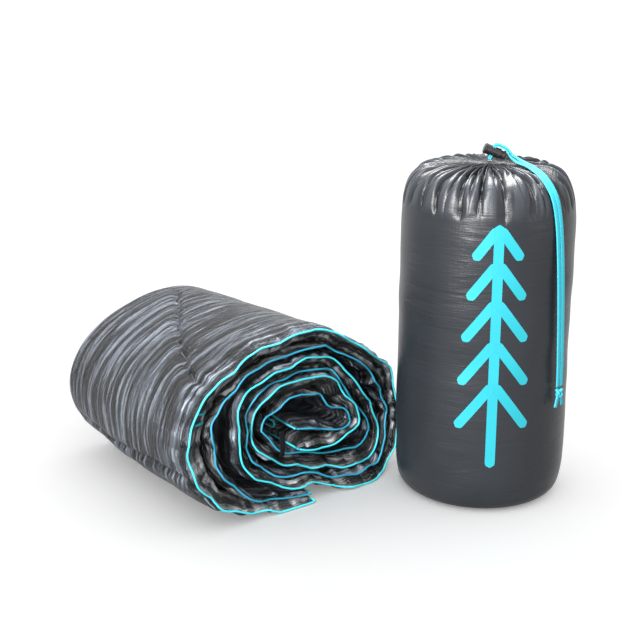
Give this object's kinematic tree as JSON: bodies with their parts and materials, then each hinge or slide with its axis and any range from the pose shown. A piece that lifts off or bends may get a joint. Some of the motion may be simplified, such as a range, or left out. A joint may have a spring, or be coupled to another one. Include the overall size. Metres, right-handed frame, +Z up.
{
  "type": "packable camp blanket",
  "caption": "Quilted insulated camp blanket folded lengthwise and rolled up, beside its full drawstring stuff sack with a sprung cord lock.",
  "frame": {"origin": "on the floor, under the middle of the box round the roll and the sack, leaving out the cord and its lock", "axes": "+Z up; +Y along the roll's axis, from its piped end to its far end; +X from the roll towards the sack's side, seen from the piped end"},
  "size_m": [0.4742, 0.5004, 0.4234],
  "materials": {
    "grey_nylon": "slightly shiny woven nylon, slate grey",
    "dark_nylon": "slightly shiny woven nylon, charcoal",
    "batting": "soft white fibre",
    "blue_trim": "matt woven trim, bright blue",
    "black_webbing": "matt woven tape, black",
    "black_plastic": "moulded, black",
    "spring_steel": "plain wire"
  },
  "bodies": {
    "blanket_roll": {"blanket_face_cover": "grey_nylon", "blanket_insulation": "batting", "blanket_lining": "dark_nylon", "piping_outer_long_edge": "blue_trim", "piping_inner_long_edge": "blue_trim", "piping_free_end": "blue_trim", "piping_core_end": "blue_trim", "corner_label": "black_webbing"},
    "sack": {"sack_wall": "grey_nylon", "sack_base_panel": "dark_nylon", "packed_blanket": "dark_nylon", "sack_hem_channel": "grey_nylon", "drawcord_in_hem": "blue_trim", "drawcord_left": "blue_trim", "drawcord_right": "blue_trim", "drawcord_knot": "blue_trim"},
    "cord_lock": {"cord_lock_barrel": "black_plastic", "cord_lock_spring": "spring_steel"},
    "plunger": {"cord_lock_plunger": "black_plastic"}
  },
  "joints": [
    {"name": "sack_lift", "type": "slide", "parent": "blanket_roll", "child": "sack", "axis": [0, 0, 1], "range_m": [0, 0.45]},
    {"name": "lock_slide", "type": "slide", "parent": "sack", "child": "cord_lock", "axis": [-0.2992, 0.2254, -0.9272], "range_m": [0, 0.002]},
    {"name": "plunger_press", "type": "slide", "parent": "cord_lock", "child": "plunger", "axis": [-0.7405, 0.558, 0.3746], "range_m": [0, 0.0035], "stiffness_N_per_m": 900, "springref_m": -0.003, "deforming": ["cord_lock_spring"]}
  ]
}
